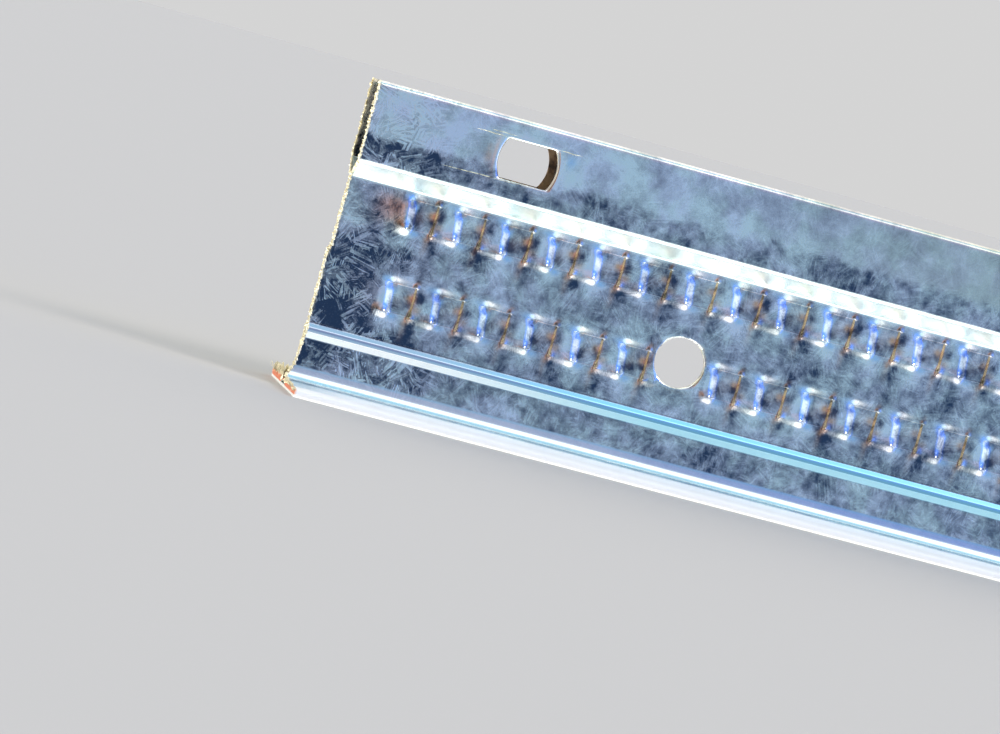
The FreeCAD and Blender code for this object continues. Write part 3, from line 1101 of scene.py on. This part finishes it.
def burr_thread(sheet, line, radius, sides=7):
    """A lumpy thread of metal along a line of points, tapered at both ends."""
    line = np.asarray(line, float)
    steps = np.linalg.norm(np.diff(line, axis=0), axis=1)
    along = np.concatenate([[0], np.cumsum(steps)])
    count = max(int(along[-1] / burr_spacing), 4)
    at = np.linspace(0, along[-1], count)
    middle = np.stack([np.interp(at, along, line[:, k]) for k in range(3)], -1)
    way = np.gradient(middle, axis=0)
    way /= np.linalg.norm(way, axis=1, keepdims=True)
    aside = np.cross(way, (0.3, 0.9, 0.2))
    aside /= np.linalg.norm(aside, axis=1, keepdims=True)
    over = np.cross(way, aside)
    ends = np.minimum(np.arange(count), np.arange(count)[::-1]) / 3
    size = radius * (0.75 + 0.5 * dice.uniform(-1, 1, count)) * np.clip(ends, 0.08, 1)
    middle = middle + dice.uniform(-0.35, 0.35, (count, 3)) * radius
    angle = np.linspace(0, math.tau, sides, endpoint=False)
    ring = aside[:, None] * np.cos(angle)[:, None] + over[:, None] * np.sin(angle)[:, None]
    numbers = sheet.add(middle[:, None] + size[:, None, None] * ring)
    closed = np.concatenate([numbers, numbers[:, :1]], 1)
    sheet.cover(closed)


burr = Sheet()
for side in (-1, 1):
    cut_line = [(snipped_start(z), side * y, z) for y, z in foot_outer[1:]]
    for z in np.arange(web_foot, stroke_level, cut_line_step):
        cut_line.append((web_start - stroke_step, side * half_web, z))
    for z in np.arange(stroke_level + 0.1 * mm, bulb_foot_bottom - 0.7 * mm, cut_line_step):
        cut_line.append((web_start, side * half_web, z))
    half_outer = bulb_outer[:len(bulb_outer) // 2]
    cut_line += [(web_start, side * y, z) for y, z in half_outer]
    burr_thread(burr, cut_line, burr_radius)
    on_flange = foot_outer[:, 1] < setback_bottom
    torn_edges = []
    for line in (foot_outer[on_flange], foot_inner[on_flange]):
        edge = np.insert(line * (side, 1), 0, tee_start - torn_edge, axis=1)
        # The torn flange edge is painted orange all over: a painted warm reflection
        torn_edges.append(burr.add(edge, 1.0))
    burr.join(torn_edges[0], torn_edges[1], turned=side > 0)
    curtain_y = np.arange(curtain_inset, flange_half - curtain_inset, curtain_step)
    height = np.interp(curtain_y, [0, 1 * mm, flange_half], torn_height[side])
    height = height * (0.8 + 0.2 * dice.uniform(-1, 1, len(curtain_y)))
    fold_y = curtain_y[::3]
    folds = np.interp(curtain_y, fold_y, dice.uniform(-curtain_fold, curtain_fold, len(fold_y))) * mm
    curtain = []
    for share in np.linspace(0, 1, curtain_rows):
        crumple = dice.uniform(-crumple_depth, crumple_depth, (3, len(curtain_y))) * mm * min(1, 3 * share)
        x = tee_start + curtain_lean * share + folds * math.sin(2.4 * share) + crumple[0]
        z = flange_top + share * height + crumple[1]
        curtain.append(np.stack([x, side * curtain_y + crumple[2], z], -1))
    burnt = dice.uniform(0, 1, (curtain_rows, len(curtain_y))) ** 2 * burnt_by_row[:, None]
    burr.cover(burr.add(np.array(curtain), orange_reflection_by_row[:, None], burnt), turned=side > 0)
for corner_y, way_out in ((flange_half - 0.6 * mm, 1), (-flange_half + 0.5 * mm, -0.4)):
    for whisker in range(whiskers):
        bend = dice.uniform(-1, 1, 3)
        root = np.array([tee_start + 0.05 * mm, corner_y + 0.3 * mm * bend[0], flange_top + 0.3 * mm])
        tip = root + np.array([0.5 * bend[1] - 0.3, 0.3 * bend[0], way_out * (0.9 + 0.3 * bend[2])]) * mm
        bow = np.array([0.25 * bend[2], 0, 0]) * mm
        burr_thread(burr, [root, (root + tip) / 2 + bow, tip], whisker_radius, sides=4)
burr_piece = burr.piece("snip_burr", sheared_steel())
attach(burr_piece, "root")

# Photographer's table: a plain pale floor under the tee, a soft sun and a room of coloured cards that the
# bright zinc mirrors. The cards stand where the photograph's lamps and walls were, so that from other sides
# the zinc is plain grey. The camera looks at the snipped end with a long lens, rolled to one side.
floor_colour = (0.504, 0.484, 0.467, 1)
floor_half = 300.0
inner_half = 3.0
floor_drop = 0.02 * mm
floor_mesh = bpy.data.meshes.new("floor")
edges = (-floor_half, -inner_half, inner_half, floor_half)
floor_points = [(x, y, -floor_drop) for x in edges for y in edges]
floor_faces = [(4 * i + j, 4 * i + 4 + j, 4 * i + 5 + j, 4 * i + 1 + j) for i in range(3) for j in range(3)]
floor_mesh.from_pydata(floor_points, [], floor_faces)
floor = bpy.data.objects.new("floor", floor_mesh)
bpy.context.scene.collection.objects.link(floor)
floor_paint = Recipe(bpy.data.materials.new("floor_paint"))
matt = {"Base Color": floor_colour, "Roughness": 0.9, "Specular IOR Level": 0.1}
floor_paint.feed(floor_paint.shader, matt)
floor_mesh.materials.append(floor_paint.owner)
floor.visible_glossy = False
floor.visible_shadow = False

straw_card = (0.72, 0.64, 0.45, 1)
black_gap = (0.03, 0.03, 0.035, 1)
rust_card = (0.75, 0.4, 0.24, 1)
dusk_blue = (0.26, 0.44, 0.68, 1)
slate_blue = (0.32, 0.48, 0.65, 1)
blue_lamp = (0.25, 0.55, 1.6, 1)
white_lamp = (1.0, 1.2, 1.45, 1)
upper_straw = (0.5, 0.46, 0.36, 1)
upper_brown = (0.07, 0.05, 0.04, 1)
upper_pale = (0.42, 0.48, 0.66, 1)
upper_blue = (0.14, 0.42, 1.6, 1)
lower_grey = (0.5, 0.53, 0.57, 1)
lower_white = (1.3, 1.4, 1.5, 1)
plain_band = (0.34, 0.45, 0.58, 1)
ceiling_white = (1.6, 1.7, 1.75, 1)
ceiling_blue = (0.45, 0.8, 1.0, 1)
back_wall = (1.3, 1.28, 1.22, 1)
under_table = (4.6, 4.8, 4.7, 1)
horizon_grey = (0.66, 0.66, 0.66, 1)
world = bpy.data.worlds.new("studio")
bpy.context.scene.world = world
room = Recipe(world, "Background")
way = room.node("SeparateXYZ", {"Vector": room.node("TexCoord", {}).outputs["Generated"]})
along, back, up = way.outputs["X"], way.outputs["Y"], way.outputs["Z"]


def laid_over(colour, direction, cards):
    """The colour with cards laid over it, each from the end of its soft border onwards in this direction."""
    for begins, ends, card in cards:
        colour = room.mix(room.ramp(direction, begins, ends), colour, card)
    return colour


front_cards = laid_over(straw_card, along, (
    (-0.5, -0.36, black_gap),
    (-0.16, -0.05, rust_card),
    (-0.01, 0.07, dusk_blue),
    (0.12, 0.28, slate_blue),
    (0.4, 0.5, blue_lamp),
    (0.52, 0.74, white_lamp),
))
upper_cards = laid_over(upper_straw, along, (
    (-0.45, -0.3, upper_brown),
    (-0.16, 0.04, upper_pale),
    (0.34, 0.44, upper_blue),
))
lower_cards = laid_over(lower_grey, along, ((-0.2, 0.0, lower_white),))
colour = laid_over(front_cards, up, (
    (0.08, 0.24, upper_cards),
    (-0.16, -0.24, plain_band),
    (-0.27, -0.4, lower_cards),
    (0.6, 0.72, ceiling_white),
    (0.86, 0.93, ceiling_blue),
))
colour = laid_over(colour, back, ((-0.1, 0.2, back_wall),))
colour = laid_over(colour, up, ((-0.6, -0.75, under_table),))
horizon = room.times(room.ramp(back, -0.05, 0.25), room.band(up, (-0.3, -0.1), (0.4, 0.15)))
colour = room.mix(horizon, colour, horizon_grey)
room.feed(room.shader, {"Color": colour, "Strength": 1.0})

sun = bpy.data.lights.new("sun", "SUN")
sun.energy = 1.05
sun.color = (1.0, 0.93, 0.82)
sun.angle = math.radians(20)
sun_obj = bpy.data.objects.new("sun", sun)
sun_obj.rotation_euler = Vector((0.6, -0.5, 0.62)).to_track_quat("Z", "Y").to_euler()
bpy.context.scene.collection.objects.link(sun_obj)

camera_place = Vector((web_start - 70.04 * mm, -512.35 * mm, 39.48 * mm))
camera_target = Vector((web_start + 23.467 * mm, 0, 8.78 * mm))
camera_roll = math.radians(15.459)
camera = bpy.data.cameras.new("camera")
camera.sensor_width = 36
camera.lens = 157.26
camera.clip_start = 0.01
camera.clip_end = 1000
camera_obj = bpy.data.objects.new("camera", camera)
towards = (camera_target - camera_place).normalized()
level_right = towards.cross(Vector((0, 0, 1))).normalized()
level_up = level_right.cross(towards)
rolled_right = math.cos(camera_roll) * level_right + math.sin(camera_roll) * level_up
rolled_up = -math.sin(camera_roll) * level_right + math.cos(camera_roll) * level_up
camera_obj.matrix_world = Matrix((rolled_right, rolled_up, -towards)).transposed().to_4x4()
camera_obj.location = camera_place
bpy.context.scene.collection.objects.link(camera_obj)
bpy.context.scene.camera = camera_obj
bpy.context.scene.view_settings.view_transform = "Standard"
